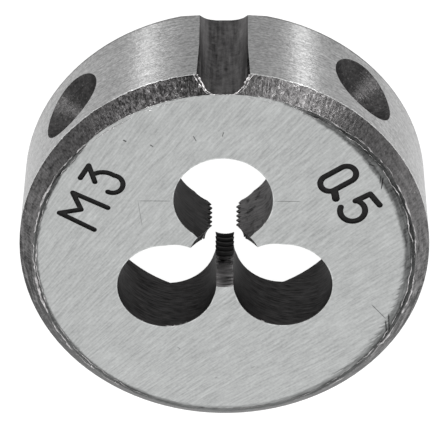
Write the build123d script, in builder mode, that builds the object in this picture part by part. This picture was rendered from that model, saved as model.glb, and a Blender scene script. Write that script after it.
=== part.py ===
"""Round threading die: one hardened steel disc that cuts a fine metric outside thread.

The die lies on its back face with its axis on Z, and Z points out of the marked face.
The setting groove in the rim is on the -Y side.
"""

import os
from math import atan2, ceil, cos, degrees, radians, sin, sqrt, tan

from build123d import *

os.makedirs("parts", exist_ok=True)

# Body, in millimetres
body_diameter = 25.0
body_thickness = 8.75
front_bevel_height = 1.0
front_bevel_width = 0.88
back_bevel = 0.62

# Relief turned into the back, which leaves a rim wall around a thinner web for the thread
rim_wall = 3.88
recess_corner_radius = 0.4
web_thickness = 4.75

# Thread: its crests shape the root of the bolt, at the standard root depth. The back end is chamfered to
# the full thread diameter, and the front opens into the lead
thread_diameter = 3.0
thread_pitch = 0.5
thread_flank_angle = 30.0
thread_depth = 1.2269 * thread_pitch / 2
crest_flat = thread_pitch / 4
lead_mouth_clearance = 0.67
lead_length = 2.1

# Chip holes around the thread, and the faces of the lands that are ground back behind their drilled walls
chip_hole_count = 3
chip_hole_diameter = 6.0
chip_hole_overlap = 0.056
first_chip_hole_angle = -90.0
face_grind_diameter = 4.5
face_grind_turn = 27.0
groove_hole_throat = 0.32
far_hole_throat = 0.2
groove_side_relief = 0.21
far_side_relief = 0.06

# Setting groove in the rim, with a flare towards the marked face and a flat across its back end
groove_angle = -90.6
groove_depth = 0.92
groove_width = 2.92
groove_wall_lean = 30.0
groove_floor_radius = 1.0
flare_height = 5.6
flare_width = 0.19
flare_depth = 0.38
groove_back_flat = 0.9

# Screw dimples in the rim: left and right of the groove, seen with the marked face in front, at
# mid thickness but for the small rise of each
dimple_diameter = 5.0
dimple_cone_angle = 90.0
left_dimple_angle = -42.2
left_dimple_rise = 0.06
right_dimple_angle = -133.8
right_dimple_rise = -0.4

# Size marks cut into the marked face, with their tops towards the rim
mark_depth = 0.1
mark_inset = 3.38
size_mark_angle = -29.3
size_mark_stroke = 0.33
pitch_mark_angle = -147.7
pitch_mark_stroke = 0.38
point_stroke = 0.47

# Worked out from the sizes above
body_radius = body_diameter / 2
recess_radius = body_radius - rim_wall
thread_radius = thread_diameter / 2
crest_radius = thread_radius - thread_depth
lead_mouth_radius = thread_radius + lead_mouth_clearance
web_back = body_thickness - web_thickness
chip_hole_distance = crest_radius + chip_hole_diameter / 2 - chip_hole_overlap
mark_distance = body_radius - mark_inset
first_land_angle = first_chip_hole_angle + 180 / chip_hole_count
pass_angle = 240 / chip_hole_count
overrun = 1.0


def facing_out(angle, radius, height):
    """Plane across the radius at this angle, with its normal pointing out of the rim."""
    out = (cos(radians(angle)), sin(radians(angle)), 0)
    place = (radius * out[0], radius * out[1], height)
    return Plane(origin=place, x_dir=(-out[1], out[0], 0), z_dir=out)


def flat_at(angle, radius, height):
    """Level plane at this radius and angle, with its local Y pointing towards the rim."""
    out = (cos(radians(angle)), sin(radians(angle)), 0)
    place = (radius * out[0], radius * out[1], height)
    return Plane(origin=place, x_dir=(out[1], -out[0], 0), z_dir=(0, 0, 1))


def stroke(start, end, width):
    """One straight engraved line with round ends."""
    run_x, run_y = end[0] - start[0], end[1] - start[1]
    with Locations(((start[0] + end[0]) / 2, (start[1] + end[1]) / 2)):
        SlotCenterToCenter(sqrt(run_x**2 + run_y**2), width, rotation=degrees(atan2(run_y, run_x)))


def curved_stroke(start, middle, end, width):
    """One engraved arc through three points with round ends."""
    with BuildLine(mode=Mode.PRIVATE) as path:
        ThreePointArc(start, middle, end)
    SlotArc(path.edge(), width)


def draw_size_mark(width):
    """The letter M and the figure 3, about two and a half millimetres tall."""
    stroke((-1.96, -1.24), (-1.88, 1.16), width)
    stroke((-1.88, 1.16), (-1.04, 0.12), width)
    stroke((-1.04, 0.12), (-0.2, 1.11), width)
    stroke((-0.2, 1.11), (-0.16, -1.24), width)
    stroke((0.95, 1.19), (1.98, 1.15), width)
    stroke((1.98, 1.15), (1.12, 0.3), width)
    curved_stroke((1.62, 0.58), (2.0, 0.1), (2.07, -0.5), width)
    curved_stroke((2.07, -0.5), (1.52, -1.33), (0.86, -0.71), width)


def draw_pitch_mark(width, point_width):
    """The figures 0.5, about as tall as the size mark."""
    with Locations((-1.06, -0.28)):
        SlotCenterToCenter(1.21, 1.12 + width, rotation=90)
        SlotCenterToCenter(1.21, 1.12 - width, rotation=90, mode=Mode.SUBTRACT)
    stroke((-0.33, -0.98), (0.07, -1.15), point_width)
    stroke((1.89, 0.81), (0.91, 0.75), width)
    stroke((0.91, 0.75), (0.85, -0.25), width)
    curved_stroke((0.88, -0.18), (2.09, -0.62), (0.75, -1.23), width)


# One pass of the thread groove across a land: a V with a small flat root, on the thread's helix
with BuildPart() as groove_pass:
    with BuildLine() as pass_path:
        Helix(thread_pitch, thread_pitch * pass_angle / 360, crest_radius)
    crest_gap = (thread_pitch - crest_flat) / 2
    root_gap = crest_gap - thread_depth * tan(radians(thread_flank_angle))
    inward = thread_depth / 8
    inner_gap = crest_gap + inward * tan(radians(thread_flank_angle))
    with BuildSketch(Plane(origin=pass_path.line @ 0, x_dir=(1, 0, 0), z_dir=pass_path.line % 0)):
        with BuildLine():
            Polyline(
                (-inward, -inner_gap),
                (thread_depth, -root_gap),
                (thread_depth, root_gap),
                (-inward, inner_gap),
                close=True,
            )
        make_face()
    sweep(path=pass_path.line, is_frenet=True)

with BuildPart() as round_die:
    # Turned disc with both rims bevelled
    Cylinder(body_radius, body_thickness, align=(Align.CENTER, Align.CENTER, Align.MIN))
    chamfer(round_die.edges().group_by(Axis.Z)[0], back_bevel)
    front_face = round_die.faces().sort_by(Axis.Z)[-1]
    chamfer(front_face.edges(), front_bevel_width, front_bevel_height, reference=front_face)

    # Relief in the back
    with BuildSketch():
        Circle(recess_radius)
    extrude(amount=web_back, mode=Mode.SUBTRACT)
    recess_floor = round_die.faces().filter_by_position(Axis.Z, web_back - 0.01, web_back + 0.01)
    fillet(recess_floor.edges(), recess_corner_radius)

    # Bore through the web, opened by the lead at the front
    with BuildSketch(Plane.XZ):
        with BuildLine():
            Polyline(
                (0, web_back - overrun),
                (thread_radius, web_back - overrun),
                (thread_radius, web_back),
                (crest_radius, web_back + thread_depth),
                (crest_radius, body_thickness - lead_length),
                (lead_mouth_radius, body_thickness),
                (lead_mouth_radius, body_thickness + overrun),
                (0, body_thickness + overrun),
                close=True,
            )
        make_face()
    revolve(axis=Axis.Z, mode=Mode.SUBTRACT)

    # Chip holes, which leave a threaded land between each two. Each is ground open towards the bore, and
    # the faces of the lands are ground back: more beside the groove's lands than beside the far one.
    with BuildSketch():
        with PolarLocations(chip_hole_distance, chip_hole_count, start_angle=first_chip_hole_angle):
            Circle(chip_hole_diameter / 2)
        grinds = (
            (0, 0, groove_hole_throat),
            (1, 0, far_hole_throat),
            (1, face_grind_turn, groove_side_relief),
            (1, -face_grind_turn, far_side_relief),
            (2, 0, far_hole_throat),
            (2, -face_grind_turn, groove_side_relief),
            (2, face_grind_turn, far_side_relief),
        )
        for hole, turn, relief in grinds:
            hole_angle = radians(first_chip_hole_angle + hole * 360 / chip_hole_count)
            grind_angle = hole_angle + radians(180 + turn)
            reach = (chip_hole_diameter - face_grind_diameter) / 2 + relief
            grind_x = chip_hole_distance * cos(hole_angle) + reach * cos(grind_angle)
            grind_y = chip_hole_distance * sin(hole_angle) + reach * sin(grind_angle)
            with Locations((grind_x, grind_y)):
                Circle(face_grind_diameter / 2)
    extrude(amount=body_thickness, mode=Mode.SUBTRACT)

    # Thread groove, passing over each land once a turn
    passes = []
    for land in range(chip_hole_count):
        start_angle = first_land_angle + land * 360 / chip_hole_count - pass_angle / 2
        for turn in range(ceil(web_thickness / thread_pitch) + 1):
            height = web_back + thread_pitch * (turn + start_angle / 360 - 1)
            passes.append(Location((0, 0, height), (0, 0, start_angle)))
    with Locations(passes):
        add(groove_pass.part, mode=Mode.SUBTRACT)

    # Setting groove along the rim
    floor_distance = body_radius - groove_depth
    mouth_distance = sqrt(body_radius**2 - (groove_width / 2) ** 2)
    lean = tan(radians(groove_wall_lean))
    floor_half = groove_width / 2 - (mouth_distance - floor_distance) * lean
    outer_half = groove_width / 2 + overrun * lean
    with BuildSketch(flat_at(groove_angle, 0, 0)) as groove_section:
        with BuildLine():
            Polyline(
                (-outer_half, mouth_distance + overrun),
                (-floor_half, floor_distance),
                (floor_half, floor_distance),
                (outer_half, mouth_distance + overrun),
                close=True,
            )
        make_face()
        fillet(groove_section.vertices().group_by(Axis.Y)[0], groove_floor_radius)
    extrude(amount=body_thickness, mode=Mode.SUBTRACT)

    # Flare of the groove's edges: a wedge that widens towards the marked face
    flare_floor = mouth_distance - flare_depth
    for level, spread in ((body_thickness - flare_height, -flare_width / 4), (body_thickness, flare_width)):
        edge_half = groove_width / 2 + spread
        with BuildSketch(flat_at(groove_angle, 0, level)):
            with BuildLine():
                Polyline(
                    (-edge_half - overrun, mouth_distance + overrun),
                    (-edge_half + flare_depth, flare_floor),
                    (edge_half - flare_depth, flare_floor),
                    (edge_half + overrun, mouth_distance + overrun),
                    close=True,
                )
            make_face()
    loft(mode=Mode.SUBTRACT)

    # Flat across the groove's back end, which dresses its two back corners
    out = Vector(cos(radians(groove_angle)), sin(radians(groove_angle)), 0)
    with BuildSketch(Plane(origin=(0, 0, 0), x_dir=out, z_dir=out.cross(Vector(0, 0, 1)))):
        with BuildLine():
            Polyline(
                (body_radius - groove_back_flat, 0),
                (body_radius + overrun, 0),
                (body_radius + overrun, groove_back_flat + overrun),
                close=True,
            )
        make_face()
    extrude(amount=body_radius / 2, both=True, mode=Mode.SUBTRACT)

    # Screw dimples: cones whose points aim at the die's axis
    dimple_slope = tan(radians(dimple_cone_angle / 2))
    dimple_depth = dimple_diameter / 2 / dimple_slope
    for angle, rise in ((left_dimple_angle, left_dimple_rise), (right_dimple_angle, right_dimple_rise)):
        with Locations(facing_out(angle, body_radius - dimple_depth, body_thickness / 2 + rise)):
            Cone(
                0,
                (dimple_depth + overrun) * dimple_slope,
                dimple_depth + overrun,
                align=(Align.CENTER, Align.CENTER, Align.MIN),
                mode=Mode.SUBTRACT,
            )

    # Size marks
    with BuildSketch(flat_at(size_mark_angle, mark_distance, body_thickness)):
        draw_size_mark(size_mark_stroke)
    extrude(amount=-mark_depth, mode=Mode.SUBTRACT)
    with BuildSketch(flat_at(pitch_mark_angle, mark_distance, body_thickness)):
        draw_pitch_mark(pitch_mark_stroke, point_stroke)
    extrude(amount=-mark_depth, mode=Mode.SUBTRACT)

round_die.part.label = "round_die"
export_step(round_die.part, "parts/round_die.step")
print("volume", round(round_die.part.volume, 2), "mm3 in", len(round_die.solids()), "solid")
print("faces", len(round_die.faces()))
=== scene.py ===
"""Round threading die: the finish of its cut and ground steel, its burrs, its floor, light and camera."""

import math

import bpy
import numpy as np
from mathutils import Matrix, Vector


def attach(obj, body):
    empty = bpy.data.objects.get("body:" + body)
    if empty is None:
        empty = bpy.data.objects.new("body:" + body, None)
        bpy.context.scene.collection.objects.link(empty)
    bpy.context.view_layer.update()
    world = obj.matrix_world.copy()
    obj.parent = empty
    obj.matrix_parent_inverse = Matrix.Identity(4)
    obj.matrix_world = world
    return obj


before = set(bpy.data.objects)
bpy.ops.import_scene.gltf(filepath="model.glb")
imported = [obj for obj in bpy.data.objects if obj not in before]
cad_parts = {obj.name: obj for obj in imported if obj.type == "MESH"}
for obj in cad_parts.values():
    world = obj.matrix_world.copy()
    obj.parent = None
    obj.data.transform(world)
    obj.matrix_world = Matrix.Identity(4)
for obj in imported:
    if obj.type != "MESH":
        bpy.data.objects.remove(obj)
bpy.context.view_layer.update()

# ---------------------------------------------------------------- camera
# A long lens looks down on the marked face from the groove's side, turned so that the groove is at the
# top of the frame.
mm = 0.001
camera_place = Vector((-2.5249, -116.317, 180.531)) * mm
camera_target = Vector((0.1198, -3.0046, 8.75)) * mm
camera_roll = math.radians(-179.497)
lens_length = 277.402
sensor_width = 36
nearest_seen = 10 * mm

camera = bpy.data.objects.new("camera", bpy.data.cameras.new("camera"))
bpy.context.collection.objects.link(camera)
bpy.context.scene.camera = camera
camera.data.sensor_width = sensor_width
camera.data.lens = lens_length
camera.data.clip_start = nearest_seen
aim = (camera_target - camera_place).to_track_quat("-Z", "Y").to_matrix().to_4x4()
camera.matrix_world = Matrix.Translation(camera_place) @ aim @ Matrix.Rotation(camera_roll, 4, "Z")

# ---------------------------------------------------------------- floor and light
# A white sheet that glows a little, a pale room around it that is bright behind the die and dark on the
# camera's side, and upright strip lamps in front, on both sides of the groove.
floor_half = 500 * mm
floor_level = -0.01 * mm
floor_colour = 0.14
floor_glow = 1.0
floor_roughness = 0.9
room_front_level, room_back_level = 0.1, 1.6
room_front_end, room_back_end = -0.75, 0.8
strips = ((-56.2, 8 * mm, 1.5), (-64.0, 60 * mm, 0.3), (-124.8, 16 * mm, 1.8))  # bearing, width, watts
strip_distance = 560 * mm
strip_bottom, strip_top = 40 * mm, 280 * mm

floor_mesh = bpy.data.meshes.new("floor")
floor_signs = ((-1, -1), (1, -1), (1, 1), (-1, 1))
floor_corners = [(x * floor_half, y * floor_half, floor_level) for x, y in floor_signs]
floor_mesh.from_pydata(floor_corners, [], [(0, 1, 2, 3)])
floor = bpy.data.objects.new("floor", floor_mesh)
bpy.context.collection.objects.link(floor)
sheet = bpy.data.materials.new("white_sheet")
sheet.use_nodes = True
sheet_shader = sheet.node_tree.nodes["Principled BSDF"]
sheet_shader.inputs["Base Color"].default_value = (floor_colour, floor_colour, floor_colour, 1)
sheet_shader.inputs["Roughness"].default_value = floor_roughness
sheet_shader.inputs["Specular IOR Level"].default_value = 0.0
sheet_shader.inputs["Emission Color"].default_value = (1, 1, 1, 1)
sheet_shader.inputs["Emission Strength"].default_value = floor_glow
floor_mesh.materials.append(sheet)

room = bpy.data.worlds.new("room")
room.use_nodes = True
bpy.context.scene.world = room
bpy.context.scene.view_settings.view_transform = "Standard"
background = room.node_tree.nodes["Background"]
direction = room.node_tree.nodes.new("ShaderNodeTexCoord")
direction_parts = room.node_tree.nodes.new("ShaderNodeSeparateXYZ")
room_level = room.node_tree.nodes.new("ShaderNodeMapRange")
room_level.interpolation_type = "SMOOTHSTEP"
room_level.inputs["From Min"].default_value = room_front_end
room_level.inputs["From Max"].default_value = room_back_end
room_level.inputs["To Min"].default_value = room_front_level
room_level.inputs["To Max"].default_value = room_back_level
room.node_tree.links.new(direction.outputs["Generated"], direction_parts.inputs[0])
room.node_tree.links.new(direction_parts.outputs["Y"], room_level.inputs["Value"])
room.node_tree.links.new(room_level.outputs["Result"], background.inputs["Strength"])
background.inputs["Color"].default_value = (1, 1, 1, 1)

for strip_bearing, width, watts in strips:
    strip = bpy.data.objects.new("strip_lamp", bpy.data.lights.new("strip_lamp", "AREA"))
    bpy.context.collection.objects.link(strip)
    strip.data.shape = "RECTANGLE"
    strip.data.size = width
    strip.data.size_y = strip_top - strip_bottom
    strip.data.energy = watts
    away = Vector((math.cos(math.radians(strip_bearing)), math.sin(math.radians(strip_bearing)), 0))
    middle = away * strip_distance + Vector((0, 0, (strip_top + strip_bottom) / 2))
    strip.matrix_world = Matrix.Translation(middle) @ away.to_track_quat("Z", "Y").to_matrix().to_4x4()

# ---------------------------------------------------------------- the die's steel
# One disc of hardened tool steel, which is the CAD node. Each kind of surface on it was cut in its own
# way and gets a steel of its own. The arrays say where each triangle lies and faces, in millimetres.
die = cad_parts["round_die"]
body_radius = 12.5
body_thickness = 8.75
level_limit = 0.9
slope_limit = 0.5
upright_limit = 0.02
steel_tint = (1.0, 0.975, 0.98)

mesh = die.data
places = np.empty(len(mesh.vertices) * 3)
mesh.vertices.foreach_get("co", places)
places = places.reshape(-1, 3) / mm
triangles = np.empty(len(mesh.loops), int)
mesh.loops.foreach_get("vertex_index", triangles)
triangles = triangles.reshape(-1, 3)
facing = np.empty(len(mesh.polygons) * 3)
mesh.polygons.foreach_get("normal", facing)
facing = facing.reshape(-1, 3)
centres = places[triangles].mean(axis=1)
from_axis = np.hypot(centres[:, 0], centres[:, 1])
height = centres[:, 2]
upward = facing[:, 2]
upright = abs(upward) < upright_limit
slot_of = np.zeros(len(mesh.polygons), int)
mesh.materials.clear()


def give(steel, where):
    """Adds this steel to the die's slots and gives it to the chosen triangles."""
    mesh.materials.append(steel)
    slot_of[where] = len(mesh.materials) - 1


def put(tree, kind, settings=None, **inputs):
    """Adds a node, sets its properties, and sets or links its inputs. n0 is the first input, and so on."""
    node = tree.nodes.new(kind)
    for key, value in (settings or {}).items():
        setattr(node, key, value)
    for key, value in inputs.items():
        numbered = key[0] == "n" and key[1:].isdigit()
        socket = node.inputs[int(key[1:])] if numbered else node.inputs[key.replace("_", " ")]
        if isinstance(value, bpy.types.NodeSocket):
            tree.links.new(value, socket)
        else:
            socket.default_value = value
    return node


def calc(tree, operation, first, second=0.0):
    """One step of arithmetic on one or two numbers or sockets."""
    return put(tree, "ShaderNodeMath", {"operation": operation}, n0=first, n1=second).outputs[0]


def times(tree, first, second):
    """The product of two values."""
    return calc(tree, "MULTIPLY", first, second)


def total(tree, start, *terms):
    """A start value plus, for each (value, weight) pair, the value times its weight."""
    result = start
    for value, weight in terms:
        result = calc(tree, "ADD", result, times(tree, value, weight))
    return result


def around(tree, x, y):
    """The length of the vector x, y, and its bearing in degrees."""
    length = calc(tree, "SQRT", total(tree, 0.0, (x, x), (y, y)))
    return length, total(tree, 0.0, (calc(tree, "ARCTAN2", y, x), 180 / math.pi))


def where_mm(tree):
    """The surface point's x, y and z in millimetres, its distance from the die's axis, and its bearing."""
    place = put(tree, "ShaderNodeTexCoord").outputs["Object"]
    scaled = put(tree, "ShaderNodeVectorMath", {"operation": "SCALE"}, n0=place, Scale=1 / mm).outputs[0]
    x, y, z = put(tree, "ShaderNodeSeparateXYZ", n0=scaled).outputs
    return x, y, z, *around(tree, x, y)


def grain(tree, x, y, z, cells, detail=2.0, roughness=0.5, seed=0.0):
    """Noise between 0 and 1, with this many cells to the millimetre along each of three coordinates."""
    stretched = [total(tree, 0.0, (value, count)) for value, count in zip((x, y, z), cells)]
    vector = put(tree, "ShaderNodeCombineXYZ", None, n0=stretched[0], n1=stretched[1], n2=stretched[2])
    noise = put(tree, "ShaderNodeTexNoise", {"noise_dimensions": "4D"}, Vector=vector.outputs[0], W=seed,
                Scale=1.0, Detail=detail, Roughness=roughness)
    return noise.outputs[0]


def ring_grain(tree, x, y, radius, other, cells, **more):
    """Noise on a ring without a seam, with this many cells to the millimetre round the rim and along other.

    The point's direction from the axis, x / radius and y / radius, stands in for the way round.
    """
    unit_x = calc(tree, "DIVIDE", x, radius)
    unit_y = calc(tree, "DIVIDE", y, radius)
    cells_round, cells_along = cells
    turn_cells = cells_round * body_radius
    return grain(tree, unit_x, unit_y, other, (turn_cells, turn_cells, cells_along), **more)


def new_steel(name, metallic=1.0, edge_tint=1.0):
    """A material with its node tree, ready for its marks. A low edge tint keeps it dark at a slant too."""
    steel = bpy.data.materials.new(name)
    steel.use_nodes = True
    shader = steel.node_tree.nodes["Principled BSDF"]
    shader.inputs["Metallic"].default_value = metallic
    shader.inputs["Specular Tint"].default_value = (edge_tint, edge_tint, edge_tint, 1)
    return steel, steel.node_tree


def finish_steel(tree, grey, rough, relief, relief_depth, tint=steel_tint):
    """Gives the shader its tinted grey, its roughness, and a relief of this many millimetres."""
    shader = tree.nodes["Principled BSDF"]
    red, green, blue = (total(tree, 0.0, (grey, part)) for part in tint)
    colour = put(tree, "ShaderNodeCombineColor", Red=red, Green=green, Blue=blue).outputs[0]
    tree.links.new(colour, shader.inputs["Base Color"])
    if isinstance(rough, bpy.types.NodeSocket):
        tree.links.new(rough, shader.inputs["Roughness"])
    else:
        shader.inputs["Roughness"].default_value = rough
    bump = put(tree, "ShaderNodeBump", None, Height=relief, Distance=relief_depth * mm)
    tree.links.new(bump.outputs[0], shader.inputs["Normal"])


# ---------------------------------------------------------------- back and relief
# The plain side: a flat ring, its bevel, and the relief bored into the back. Turned with a pointed
# tool, which left fine rings, then hardened, so it is darker than the ground faces.
turned_grey = 0.06
turned_roughness = 0.4
turned_relief = 0.012

turned_steel, tree = new_steel("turned_steel")
x, y, z, radius, _ = where_mm(tree)
down_the_cone = total(tree, radius, (z, 1.0))
rings = ring_grain(tree, x, y, radius, down_the_cone, cells=(0.06, 8), detail=3)
stains = grain(tree, x, y, z, cells=(0.4, 0.4, 0.4), detail=3)
specks = grain(tree, x, y, z, cells=(5, 5, 5), detail=3, roughness=0.7)
grey = total(tree, turned_grey, (rings, 0.14), (stains, 0.14), (specks, 0.06))
finish_steel(tree, grey, turned_roughness, rings, turned_relief)
give(turned_steel, slice(None))

# ---------------------------------------------------------------- ground face
# The marked face, ground flat on a wheel whose lines fan out from a far point. The wheel stopped short
# of the edge, so a ragged dark ring of the old turned surface is left, widest beside the pitch mark.
fan_centre, fan_distance = (36.1, 34.0), 50.0
ground_grey = 0.027
ground_roughness = 0.28
old_grey = -0.285
old_roughness = 0.5
darkest = 0.015
face_relief = 0.006
face_tint = (0.98, 1.0, 0.993)
face_top = body_thickness - 0.01
# The old surface's inner edge, a radius at each bearing.
ring_edge = ((-180, 10.96), (-155, 10.88), (-135, 11.00), (-117, 11.29), (-98, 11.62), (-50, 11.62),
             (-42, 11.38), (-30, 11.36), (30, 11.32), (90, 11.21), (145, 11.08), (180, 10.96))
ring_edge_low, ring_edge_span = 10.75, 1.0
ring_edge_shift = 0.35
furrow_radius = 11.33
hole_distance = 4.137
hole_radius = 3.0
hole_middles = [(hole_distance * math.cos(angle), hole_distance * math.sin(angle))
                for angle in (math.radians(-90.0), math.radians(30.0), math.radians(150.0))]
painted_hole_highlight_offset, painted_hole_highlight = 0.03, 0.14
# Nicks and scratches: start, end, width and depth.
nicks = (
    ((5.27, -4.20), (3.05, -4.15), 0.04, 0.6), ((-3.02, -4.06), (-4.77, -4.02), 0.04, 0.6),
    ((5.15, -4.36), (4.91, -2.27), 0.04, 0.4), ((5.90, -8.53), (5.67, -8.40), 0.07, 1.0),
    ((-9.61, -5.78), (-9.48, -4.75), 0.06, 1.0), ((-9.46, -5.9), (-9.40, -5.2), 0.05, 0.8),
    ((-8.70, -6.63), (-9.15, -6.47), 0.06, 0.9), ((3.02, 6.60), (2.83, 6.80), 0.06, 0.4),
    ((0.76, 9.06), (0.55, 8.95), 0.06, 0.4), ((-1.50, 8.33), (-1.80, 8.14), 0.05, 0.4),
    ((4.30, -8.18), (4.10, -8.02), 0.06, 0.9), ((1.52, -8.35), (1.72, -8.78), 0.05, 0.8),
    ((-0.01, -8.65), (-0.11, -9.02), 0.05, 0.8), ((-8.91, 3.5), (-9.91, 4.71), 0.05, 0.7),
    ((-10.02, 4.19), (-10.09, 5.7), 0.07, 0.9), ((-9.84, 4.71), (-9.93, 5.92), 0.07, 0.9),
)


def step(tree, value, low, high, at_low=0.0, at_high=1.0):
    """A smooth step that goes from at_low to at_high as the value goes from low to high."""
    ends = {"From_Min": low, "From_Max": high, "To_Min": at_low, "To_Max": at_high}
    smooth = {"interpolation_type": "SMOOTHSTEP"}
    return put(tree, "ShaderNodeMapRange", smooth, Value=value, **ends).outputs[0]


def gap(tree, first, second):
    """How far two values are apart."""
    return calc(tree, "ABSOLUTE", calc(tree, "SUBTRACT", first, second))


def near(tree, value, middle, inner, outer, inside=1.0, outside=0.0):
    """A smooth step from inside to outside as the value's gap to the middle goes from inner to outer."""
    return step(tree, gap(tree, value, middle), inner, outer, inside, outside)


def mixed(tree, factor, first, second):
    """A number between two others."""
    return put(tree, "ShaderNodeMix", None, n0=factor, n2=first, n3=second).outputs[0]


def less(tree, grey, share):
    """The grey with this share of it taken away."""
    return times(tree, grey, calc(tree, "SUBTRACT", 1.0, share))


ground_face, tree = new_steel("ground_face")
x, y, z, radius, bearing = where_mm(tree)
fan_x = calc(tree, "SUBTRACT", x, fan_centre[0])
fan_y = calc(tree, "SUBTRACT", y, fan_centre[1])
along, fan_bearing = around(tree, fan_x, fan_y)
across = total(tree, 0.0, (fan_bearing, fan_distance * math.pi / 180))

# The wheel's lines, with a few deep cuts.
fine_lines = grain(tree, across, along, z, cells=(7, 0.7, 0), detail=3, roughness=0.65)
broad_lines = grain(tree, across, along, z, cells=(2.6, 0.22, 0), detail=1, seed=7)
long_lines = grain(tree, across, along, z, cells=(5, 0.16, 0), detail=2, seed=29)
cuts = step(tree, long_lines, 0.66, 0.74)
clouds = grain(tree, x, y, z, cells=(0.3, 0.3, 0), detail=2, seed=3)
specks = grain(tree, x, y, z, cells=(6, 6, 0), detail=2, seed=23)
light_grey = total(tree, ground_grey, (fine_lines, 0.38), (broad_lines, 0.06), (clouds, 0.05), (specks, 0.14),
                   (cuts, -0.05))

# The old surface starts at a radius that changes with the bearing, made ragged, and brushed out at the right.
curve = put(tree, "ShaderNodeFloatCurve", Value=total(tree, 0.5, (bearing, 1 / 360)))
points = curve.mapping.curves[0].points
for index, (angle, edge_radius) in enumerate(ring_edge):
    spot = ((angle + 180) / 360, (edge_radius - ring_edge_low) / ring_edge_span)
    if 0 < index < len(ring_edge) - 1:
        points.new(*spot)
    else:
        points[0 if index == 0 else -1].location = spot
curve.mapping.update()
limit = total(tree, ring_edge_low, (curve.outputs[0], ring_edge_span))
ragged = ring_grain(tree, x, y, radius, radius, cells=(0.9, 1.6), detail=4, roughness=0.65, seed=11)
hairs = grain(tree, across, along, z, cells=(5, 0.6, 0), detail=3, roughness=0.6, seed=17)
brush = grain(tree, across, along, z, cells=(9, 1.2, 0), detail=2, roughness=0.6, seed=41)
tufted = near(tree, bearing, 150, inner=12, outer=36)
tufts = times(tree, tufted, calc(tree, "SUBTRACT", brush, 0.45))
beyond = total(tree, calc(tree, "SUBTRACT", radius, limit), (ragged, 0.4), (hairs, 0.3), (tufts, 1.1))
blur = near(tree, bearing, 0, inner=90, outer=160, inside=0.07, outside=0.15)
blur_start = total(tree, ring_edge_shift, (blur, -1.0))
blur_end = total(tree, ring_edge_shift, (blur, 1.0))
unground = step(tree, beyond, blur_start, blur_end)

# The old surface's grey, with painted light on the side away from the groove and painted shade at the upper
# left. Left, right, upper and lower are as the camera sees the die.
turned_lines = ring_grain(tree, x, y, radius, radius, cells=(0.7, 7), detail=3, roughness=0.6, seed=43)
painted_light_far_side = near(tree, bearing, 75, inner=65, outer=110, inside=0.085)
painted_light_far_middle = near(tree, bearing, 90, inner=10, outer=34, inside=0.08)
painted_shade_upper_left = near(tree, bearing, -34, inner=8, outer=24, inside=-0.035)
dark_grey = total(tree, old_grey, (ragged, 0.12), (hairs, 0.18), (brush, 0.14), (turned_lines, 0.33),
                  (painted_light_far_side, 1.0), (painted_shade_upper_left, 1.0), (painted_light_far_middle, 1.0))
grey = mixed(tree, unground, light_grey, calc(tree, "MAXIMUM", dark_grey, darkest))

# A dark line of painted shade along the furrow where the wheel's edge stopped, strongest on the sides away
# from the groove.
at_right = step(tree, x, -9.5, -6.0, 1.0, 0.0)
off_groove = near(tree, bearing, -75, inner=30, outer=60, inside=0.0, outside=0.5)
furrow_shade_depth = total(tree, off_groove, (at_right, 0.1))
furrow_gap = calc(tree, "ABSOLUTE", total(tree, furrow_radius, (radius, -1.0), (ragged, 0.3)))
furrow = step(tree, total(tree, furrow_gap, (at_right, -0.04)), 0.04, 0.2, 1.0, 0.0)
grey = less(tree, grey, times(tree, furrow_shade_depth, furrow))

# Each nick is a straight line that fades out at both ends.
for (start_x, start_y), (end_x, end_y), width, depth in nicks:
    length = math.hypot(end_x - start_x, end_y - start_y)
    unit_x, unit_y = (end_x - start_x) / length, (end_y - start_y) / length
    run = total(tree, -start_x * unit_x - start_y * unit_y, (x, unit_x), (y, unit_y))
    aside = total(tree, start_x * unit_y - start_y * unit_x, (x, -unit_y), (y, unit_x))
    on_line = near(tree, aside, 0.0, inner=0.0, outer=width)
    between = near(tree, run, length / 2, inner=length * 0.3, outer=length / 2, inside=depth)
    grey = less(tree, grey, times(tree, on_line, between))

# A thin broken painted highlight along the edges of the chip holes.
for middle_x, middle_y in hole_middles:
    off_middle, _ = around(tree, calc(tree, "SUBTRACT", x, middle_x), calc(tree, "SUBTRACT", y, middle_y))
    on_edge = near(tree, off_middle, hole_radius + painted_hole_highlight_offset, inner=0.01, outer=0.05)
    grey = calc(tree, "ADD", grey, times(tree, on_edge, step(tree, ragged, 0.45, 0.6, 0.0, painted_hole_highlight)))

rough = mixed(tree, unground, total(tree, ground_roughness, (fine_lines, 0.16)), old_roughness)
relief = total(tree, fine_lines, (unground, -0.8), (broad_lines, 0.4))
finish_steel(tree, grey, rough, relief, face_relief, tint=face_tint)
give(ground_face, (upward > level_limit) & (height > face_top))

# ---------------------------------------------------------------- front bevel
# The wide bevel round the marked face, turned and left dark, with scratches down its slope and bright flecks
# where its skin was knocked, most of them between the groove and the pitch mark, where the flecks and cracks
# also carry a painted highlight.
bevel_height = 1.0
bevel_width = 0.88
bevel_grey = -0.148
bevel_roughness = 0.42
bevel_relief = 0.02
bevel_reach = 1.2
bevel_drop = 1.05
fleck_and_highlight_bearing = -112.0
crack_and_highlight_bearing = -96.0

front_bevel, tree = new_steel("front_bevel")
x, y, z, radius, bearing = where_mm(tree)
scratches = ring_grain(tree, x, y, radius, radius, cells=(7, 0.9), detail=3, roughness=0.6)
mottle = ring_grain(tree, x, y, radius, radius, cells=(4, 4), detail=4, roughness=0.75, seed=5)
specks = ring_grain(tree, x, y, radius, radius, cells=(9, 9), detail=2, seed=21)
strokes = ring_grain(tree, x, y, radius, radius, cells=(0.8, 5), detail=3, roughness=0.65, seed=19)
flecks = ring_grain(tree, x, y, radius, radius, cells=(2.6, 2.6), detail=3, roughness=0.7, seed=9)
# More flecks near this bearing, which together with them paint the lamp's highlight.
flecks_and_highlight = near(tree, bearing, fleck_and_highlight_bearing, inner=6, outer=20, inside=0.06)
bright = step(tree, calc(tree, "ADD", flecks, flecks_and_highlight), 0.60, 0.74)

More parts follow.
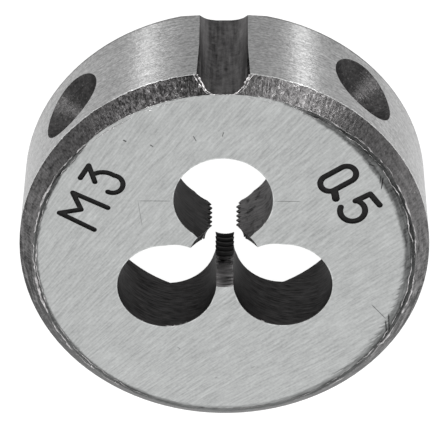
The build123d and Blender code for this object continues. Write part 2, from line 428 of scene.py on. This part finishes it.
# Cracks run where a noise passes its middle value.
crack_noise = ring_grain(tree, x, y, radius, radius, cells=(1.1, 1.3), detail=3, roughness=0.6, seed=13)
on_crack = near(tree, crack_noise, 0.5, inner=0.0, outer=0.013)
# The cracks are brightest near their bearing, where they carry a painted highlight.
cracks_and_highlight = near(tree, bearing, crack_and_highlight_bearing, inner=16, outer=40, inside=0.2, outside=0.03)
cracks = times(tree, on_crack, times(tree, cracks_and_highlight, step(tree, mottle, 0.46, 0.6)))

# Greys by place: painted light at the right, on both sides and at the lower right, painted shade left of the
# groove, and streaks with painted shade on the far half.
painted_light_right_side = step(tree, x, -10.8, -7.2, 0.035, 0.0)
painted_light_both_sides = near(tree, x, 0.0, inner=8.0, outer=12.0, inside=0.0, outside=0.02)
painted_shade_left_of_groove = near(tree, bearing, -74, inner=6, outer=26, inside=-0.048)
painted_light_lower_right = near(tree, bearing, 142, inner=20, outer=44, inside=0.05)
side_strokes = times(tree, near(tree, x, 0.0, inner=8.0, outer=11.0, inside=0.0, outside=1.0),
                     total(tree, -0.15, (strokes, 0.3)))
far_strokes_and_shade = times(tree, step(tree, y, -3.0, 5.0), total(tree, -0.42, (strokes, 0.64)))
by_place = total(tree, bevel_grey, (painted_light_right_side, 1.0), (painted_light_both_sides, 1.0), (painted_shade_left_of_groove, 1.0), (painted_light_lower_right, 1.0),
                 (side_strokes, 1.0), (far_strokes_and_shade, 1.0))
grey = total(tree, by_place, (scratches, 0.08), (mottle, 0.2), (specks, 0.18), (bright, 0.16), (cracks, 1.0))
grey = calc(tree, "MAXIMUM", grey, darkest)
finish_steel(tree, grey, bevel_roughness, total(tree, scratches, (mottle, 1.0)), bevel_relief)
sloping = (upward > slope_limit) & (upward < level_limit)
give(front_bevel, sloping & (from_axis > body_radius - bevel_reach) & (height > body_thickness - bevel_drop))

# ---------------------------------------------------------------- rim
# The outer cylinder, ground between centres. Its scratches run round the die, so they smear each lamp
# into an upright streak with a grainy edge.
rim_grey = -0.165
rim_least_grey = 0.03
rim_roughness = 0.32
rim_relief = 0.02
rim_skin = 0.06
painted_shade_bearing = -91
painted_highlight_band, painted_front_highlight = (7.94, 7.99), 0.45
skin_band, front_shade = (8.02, 8.06), -0.85
back_corner, back_shade = (0.64, 0.82), 0.3
quarter_turn = 0.25

ground_rim, tree = new_steel("ground_rim")
x, y, z, radius, bearing = where_mm(tree)
scratches = ring_grain(tree, x, y, radius, z, cells=(0.9, 9), detail=3, roughness=0.6)
ripples = ring_grain(tree, x, y, radius, z, cells=(1.7, 6), detail=3, roughness=0.6, seed=6)
patches = ring_grain(tree, x, y, radius, z, cells=(0.4, 2.5), detail=2, seed=5)
specks = ring_grain(tree, x, y, radius, z, cells=(5, 7), detail=2, seed=8)
dent_noise = ring_grain(tree, x, y, radius, z, cells=(2.2, 2.6), detail=3, roughness=0.7, seed=31)
dents = step(tree, dent_noise, 0.69, 0.76)
bites = ring_grain(tree, x, y, radius, z, cells=(2.4, 1.5), detail=3, roughness=0.7, seed=14)
grey = total(tree, rim_grey, (scratches, 0.42), (patches, 0.12), (specks, 0.53), (dents, -0.15))
# Painted shade on the side near the groove, where the grey is multiplied by 0.76, and painted light on the
# other sides, where it is multiplied by 1.1.
grey = times(tree, grey, near(tree, bearing, painted_shade_bearing, inner=12, outer=52, inside=0.76, outside=1.1))

# The front corner is a ragged line of painted highlight with the bevel's dark skin beyond it, and the back
# one is darkened with painted shade.
edge = total(tree, z, (bites, 0.6))
past_painted_highlight = step(tree, edge, *painted_highlight_band)
past_skin = step(tree, edge, *skin_band)
grey = total(tree, grey, (past_painted_highlight, painted_front_highlight), (past_skin, front_shade))
grey = times(tree, grey, step(tree, z, *back_corner, at_low=back_shade, at_high=1.0))
grey = calc(tree, "MAXIMUM", grey, rim_least_grey)
relief = total(tree, scratches, (ripples, 0.7), (specks, 0.3))
finish_steel(tree, grey, rim_roughness, relief, rim_relief, tint=(1, 1, 1))
shader = tree.nodes["Principled BSDF"]
shader.inputs["Anisotropic"].default_value = 1.0
shader.inputs["Anisotropic Rotation"].default_value = quarter_turn
tangent = put(tree, "ShaderNodeTangent", {"direction_type": "RADIAL", "axis": "Z"})
tree.links.new(tangent.outputs[0], shader.inputs["Tangent"])
give(ground_rim, upright & (from_axis > body_radius - rim_skin))

# ---------------------------------------------------------------- setting groove
# The groove along the rim, milled before hardening: dark and streaky along its length, with painted light on
# each shoulder near the back and painted shade along its edges and in a band on one side.
groove_angle = math.radians(-90.6)
groove_middle = -0.12
groove_half = 1.75
groove_reach = 1.3
lowest_facing = -0.6
groove_grey = -0.075
groove_least_grey = 0.012
groove_roughness = 0.5
groove_relief = 0.02

milled_groove, tree = new_steel("milled_groove", edge_tint=0.4)
x, y, z, _, _ = where_mm(tree)
streaks = grain(tree, x, y, z, cells=(5, 5, 0.4), detail=3)
mottle = grain(tree, x, y, z, cells=(3, 3, 3), detail=4, roughness=0.75, seed=2)
aside = gap(tree, x, groove_middle)
# Painted light on each shoulder, and painted shade in a band and along the edges.
painted_light_shoulders = times(tree, step(tree, aside, 0.75, 1.25), step(tree, z, 2.0, 6.5, 0.09, 0.015))
painted_shade_band = near(tree, x, 0.55, inner=0.1, outer=0.6, inside=-0.012)
painted_shade_edges = step(tree, aside, 1.36, 1.44, 0.0, -0.06)
grey = total(tree, groove_grey, (painted_shade_edges, 1.0), (streaks, 0.14), (mottle, 0.16), (painted_light_shoulders, 1.0),
             (painted_shade_band, 1.0))
grey = calc(tree, "MAXIMUM", grey, groove_least_grey)
finish_steel(tree, grey, groove_roughness, total(tree, mottle, (streaks, 1.0)), groove_relief)
sideways = centres[:, 1] * math.cos(groove_angle) - centres[:, 0] * math.sin(groove_angle)
outwards = centres[:, 0] * math.cos(groove_angle) + centres[:, 1] * math.sin(groove_angle)
in_groove = (abs(sideways) < groove_half) & (outwards > body_radius - groove_reach)
give(milled_groove, in_groove & (slot_of == 0) & (upward > lowest_facing))

# ---------------------------------------------------------------- screw dimples
# Two cones drilled into the rim for the stock's clamping screws before the body was hardened: dark, with
# fine rings left by the drill's lips and a sparkle where the steel tore.
dimple_spots = (("a", -42.2, 4.435), ("b", -133.8, 3.975))  # letter, bearing, height
dimple_radius = 2.6
dimple_bottom = 9.0
dimple_least_radius = 9.6
dimple_grey = -0.035
dimple_roughness = 0.45
dimple_relief = 0.03

for letter, dimple_bearing, level in dimple_spots:
    drilled_dimple, tree = new_steel("drilled_dimple_" + letter, edge_tint=0.5)
    out_x, out_y = math.cos(math.radians(dimple_bearing)), math.sin(math.radians(dimple_bearing))
    x, y, z, _, _ = where_mm(tree)
    depth = total(tree, -body_radius, (x, out_x), (y, out_y))
    rings = grain(tree, depth, x, z, cells=(11, 0.25, 0.25), detail=2)
    mottle = grain(tree, x, y, z, cells=(3.5, 3.5, 3.5), detail=4, roughness=0.7)
    sparkle = step(tree, grain(tree, x, y, z, cells=(8, 8, 8), detail=2, seed=5), 0.55, 0.75)
    grey = total(tree, dimple_grey, (mottle, 0.13), (rings, 0.04), (sparkle, 0.07))
    finish_steel(tree, grey, dimple_roughness, total(tree, rings, (mottle, 1.0)), dimple_relief)
    off_centre = np.hypot(centres[:, 1] * out_x - centres[:, 0] * out_y, height - level)
    outwards = centres[:, 0] * out_x + centres[:, 1] * out_y
    in_dimple = (off_centre < dimple_radius) & (from_axis > dimple_least_radius) & (outwards > dimple_bottom)
    give(drilled_dimple, in_dimple & (slot_of == 0))

# ---------------------------------------------------------------- chip holes
# Three holes drilled through the web and ground open towards the bore, dark, with the curved marks of
# the drill. The wall beside the pitch mark is the palest, with dark blotches.
hole_reach = 3.45
recess_inner, recess_outer = 8.12, 8.67
recess_bottom = 0.01
web_back = 4.0
face_skin = 0.005
hole_roughness = 0.42
hole_relief = 0.015
hole_least_grey = 0.008
dark_wall_grey = -0.018
pale_wall_grey = -0.02
lip_highlight_band = (8.60, 8.68)

drilled_hole, tree = new_steel("drilled_hole", edge_tint=0.5)
x, y, z, _, _ = where_mm(tree)
slanted = total(tree, z, (x, 0.35), (y, 0.35))
marks = grain(tree, x, y, slanted, cells=(1.2, 1.2, 9), detail=3)
blotches = grain(tree, x, y, z, cells=(1.6, 1.6, 1.6), detail=4, roughness=0.7, seed=4)
pale_side = times(tree, step(tree, x, -1.0, -0.4, 1.0, 0.0), step(tree, y, -0.5, 0.5, 1.0, 0.0))
dark = total(tree, dark_wall_grey, (marks, 0.1), (blotches, 0.03))
pale = total(tree, pale_wall_grey, (marks, 0.28), (step(tree, blotches, 0.52, 0.62), -0.07))
far_shade = step(tree, y, 2.5, 5.0, 0.0, -0.016)
# A band of painted highlight along the top of the walls, broken into patches.
lip_highlight_patches = grain(tree, x, y, z, cells=(1.5, 1.5, 1.5), detail=3, roughness=0.7, seed=6)
lip_highlight = times(tree, step(tree, z, *lip_highlight_band), step(tree, lip_highlight_patches, 0.56, 0.64, 0.03, 0.5))
grey = total(tree, mixed(tree, pale_side, dark, pale), (far_shade, 1.0), (lip_highlight, 1.0))
grey = calc(tree, "MAXIMUM", grey, hole_least_grey)
finish_steel(tree, grey, hole_roughness, marks, hole_relief)

hole_walls = np.zeros(len(centres), bool)
for middle in hole_middles:
    hole_walls |= np.linalg.norm(centres[:, :2] - middle, axis=1) < hole_reach
recess_wall = (from_axis > recess_inner) & (from_axis < recess_outer)
in_recess = recess_wall & (height > recess_bottom) & (height < web_back)
below_face = height < body_thickness - face_skin
give(drilled_hole, (upright & hole_walls & below_face) | in_recess)

# ---------------------------------------------------------------- thread and lead
# The cutting thread on the three lands, dark down in the web, and its lead cone, turned brighter, with
# fine rings. Its triangles are those near the axis that face it.
thread_reach = 2.3
facing_axis = 0.6
lead_start, lead_blend = 6.6, 0.15
web_grey, lead_grey = 0.0, -0.3
thread_roughness = 0.42
thread_relief = 0.02

cut_thread, tree = new_steel("cut_thread", edge_tint=0.3)
x, y, z, radius, _ = where_mm(tree)
rings = ring_grain(tree, x, y, radius, z, cells=(0.12, 7), detail=2)
in_lead = step(tree, z, lead_start, lead_start + lead_blend)
grey = mixed(tree, in_lead, total(tree, web_grey, (rings, 0.09)), total(tree, lead_grey, (rings, 1.0)))
finish_steel(tree, grey, thread_roughness, rings, thread_relief)

to_axis = -(centres[:, 0] * facing[:, 0] + centres[:, 1] * facing[:, 1]) / np.maximum(from_axis, 0.001)
threaded = (from_axis < thread_reach) & ((to_axis > facing_axis) | ~upright) & (height > web_back + face_skin)
give(cut_thread, threaded & below_face)

# ---------------------------------------------------------------- size marks
# The thread's size and pitch, engraved into the ground face as shallow strokes with round ends, and
# filled with a black that has dried dull.
mark_inner, mark_outer = 7.3, 11.2
mark_bottom, mark_top = 8.6, body_thickness - 0.002
mark_grey = -0.004
mark_roughness = 0.7
mark_relief = 0.03

mark_fill, tree = new_steel("mark_fill", metallic=0.0)
x, y, z, _, _ = where_mm(tree)
speckle = grain(tree, x, y, z, cells=(7, 7, 7), detail=3)
finish_steel(tree, total(tree, mark_grey, (speckle, 0.03)), mark_roughness, speckle, mark_relief)
tree.nodes["Principled BSDF"].inputs["Specular IOR Level"].default_value = 0.2
in_mark_band = (from_axis > mark_inner) & (from_axis < mark_outer)
give(mark_fill, in_mark_band & (height > mark_bottom) & (height < mark_top))

# Each of the die's triangles now has its steel.
mesh.polygons.foreach_set("material_index", slot_of)

# ---------------------------------------------------------------- burrs
# Thin ragged ridges of bright steel that the wheel and the cutter pushed up along the sharp edges: two
# round the ground face, and two along the edge where the groove cuts the bevel.
burr_seed = 7
burr_sides = 6
burr_grey = -0.1
burr_roughness = 0.4
burr_relief = 0.02
taper_points = 4
face_burrs = (("face_burr_a", 0.02, 0.026), ("face_burr_b", -0.2, 0.018))  # name, offset, thickness
face_burr_points = 1800
face_burr_wander, face_burr_tremble = 0.035, 0.012
mouth_half = 0.118
faint_half, faint_share = 0.5, 0.45
thinned = 0.6
thick_spots = ((0.7, 1.6, 1.3), (2.8, 1.2, 0.8))  # middle, reach, extra
bevel_fall = 1.14
groove_burrs = (("groove_burr_a", 0.0, 0.05), ("groove_burr_b", 0.19, 0.032))  # name, offset, thickness
groove_burr_points = 400
groove_burr_wander, groove_burr_lean = 0.02, 0.01
corner_slack = 0.01
near_z = (0.05, 0.03, 1.0)

burr_steel, tree = new_steel("burr_steel")
x, y, z, _, _ = where_mm(tree)
shine = grain(tree, x, y, z, cells=(3, 3, 3), detail=3, roughness=0.7)
# Painted shade on the far side, where the grey falls to half, and painted light beside the groove, where it
# rises by 0.6.
shade = times(tree, step(tree, y, 7.5, 11.5, 1.0, 0.5), step(tree, y, -11.6, -10.9, 1.6, 1.0))
grey = times(tree, total(tree, burr_grey, (shine, 1.0)), shade)
finish_steel(tree, grey, burr_roughness, shine, burr_relief)
chance = np.random.default_rng(burr_seed)


def smooth_chance(count, reach, closed=True):
    """Random numbers of spread one along a line, each averaged over its reach of neighbours."""
    values = chance.normal(size=count)
    kernel = np.hanning(reach + 2)[1:-1]
    if closed:
        padded = np.concatenate([values[-reach:], values, values[:reach]])
    else:
        padded = np.pad(values, reach, "reflect")
    smooth = np.convolve(padded, kernel, "same")[reach:-reach]
    return smooth / smooth.std()


def turn_from(angles, middle):
    """How far each angle is from the middle one, the short way round."""
    return np.abs(np.angle(np.exp(1j * (angles - middle))))


def ridge(name, path, thickness):
    """A ragged tube: each point of the path carries a ring of six points whose radius is its thickness.

    The ring stands across the path, on the two directions made by crossing the path's direction with one
    near Z, and then with that. The tube tapers to nothing and is capped at both ends.
    """
    count = len(path)
    ahead = np.gradient(path, axis=0)
    ahead /= np.linalg.norm(ahead, axis=1)[:, None]
    across_path = np.cross(ahead, near_z)
    across_path /= np.linalg.norm(across_path, axis=1)[:, None]
    upwards = np.cross(across_path, ahead)
    turn = np.linspace(0, 2 * np.pi, burr_sides, endpoint=False)[None, :, None]
    from_end = np.minimum(np.arange(count), np.arange(count)[::-1])
    thickness = thickness * np.clip(from_end / taper_points, 0.02, 1)
    circle = np.cos(turn) * across_path[:, None] + np.sin(turn) * upwards[:, None]
    verts = (path[:, None] + circle * thickness[:, None, None]).reshape(-1, 3) * mm
    row, side = np.meshgrid(np.arange(count - 1), np.arange(burr_sides), indexing="ij")
    here, ahead_row = row * burr_sides, (row + 1) * burr_sides
    following = (side + 1) % burr_sides
    faces = np.stack([here + side, ahead_row + side, ahead_row + following, here + following], -1)
    first_cap = list(range(burr_sides))
    last_cap = list(range((count - 1) * burr_sides, count * burr_sides))[::-1]
    burr_mesh = bpy.data.meshes.new(name)
    burr_mesh.from_pydata(verts.tolist(), [], faces.reshape(-1, 4).tolist() + [first_cap, last_cap])
    burr_mesh.materials.append(burr_steel)
    burr_mesh.polygons.foreach_set("use_smooth", np.ones(len(burr_mesh.polygons), bool))
    piece = bpy.data.objects.new(name, burr_mesh)
    bpy.context.collection.objects.link(piece)
    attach(piece, "root")


# Each face burr goes once round the corner of face and bevel, from one side of the groove's mouth to the
# other: faint beside the mouth, thin on the side away from it, and thick at the lower left and the right.
corner_radius = body_radius - bevel_width
turns = groove_angle + np.linspace(0, 2 * np.pi, face_burr_points, endpoint=False)
off_mouth = turn_from(turns, groove_angle)
for name, offset, thick in face_burrs:
    swing = corner_radius + offset + face_burr_wander * smooth_chance(face_burr_points, 40)
    swing += face_burr_tremble * smooth_chance(face_burr_points, 8)
    rise = body_thickness - np.maximum(swing - corner_radius, 0) * bevel_fall
    lumps = 0.5 * smooth_chance(face_burr_points, 14)
    swells = 0.35 * smooth_chance(face_burr_points, 60)
    thickness = thick * np.clip(0.6 + lumps + swells, 0.05, 1.8)
    thickness[off_mouth < faint_half] *= faint_share
    thickness *= 1 - thinned * np.clip(np.sin(turns) * 3 - 1.8, 0, 1)
    for middle, reach, extra in thick_spots:
        thickness *= 1 + extra * np.clip(reach - turn_from(turns, middle), 0, 1)
    kept = off_mouth > mouth_half
    path = np.stack([swing * np.cos(turns), swing * np.sin(turns), rise], -1)
    ridge(name, path[kept], thickness[kept])

# The groove's burrs follow the corner where the groove cuts the bevel: the groove's points that lie on
# the bevel's cone, taken in order of their bearing.
groove_points = places[triangles[slot_of == list(mesh.materials).index(milled_groove)]].reshape(-1, 3)
up_the_bevel = groove_points[:, 2] - (body_thickness - bevel_height)
off_cone = np.hypot(groove_points[:, 0], groove_points[:, 1]) - (body_radius - up_the_bevel * bevel_width)
corner = groove_points[(abs(off_cone) < corner_slack) & (up_the_bevel > -corner_slack)]
corner = corner[np.argsort(np.arctan2(corner[:, 1], corner[:, 0]))]
steps = np.r_[0, np.cumsum(np.linalg.norm(np.diff(corner, axis=0), axis=1))]
spots = np.linspace(0, steps[-1], groove_burr_points)
path = np.stack([np.interp(spots, steps, corner[:, axis]) for axis in range(3)], -1)
outward = path[:, :2] / np.linalg.norm(path[:, :2], axis=1)[:, None]
from_middle = path[:, 0] - groove_middle
for name, offset, thick in groove_burrs:
    track = path.copy()
    track[:, 0] += np.sign(from_middle) * offset * np.clip(abs(from_middle), 0, 1)
    track[:, 0] += groove_burr_wander * smooth_chance(groove_burr_points, 30, closed=False)
    track[:, :2] += outward * groove_burr_lean * smooth_chance(groove_burr_points, 24, closed=False)[:, None]
    thickness = thick * np.clip(0.8 + 0.45 * smooth_chance(groove_burr_points, 20, closed=False), 0.1, 1.8)
    thickness *= np.clip(abs(from_middle) * 1.1 - 0.25, 0.2, 1)
    ridge(name, track, thickness)
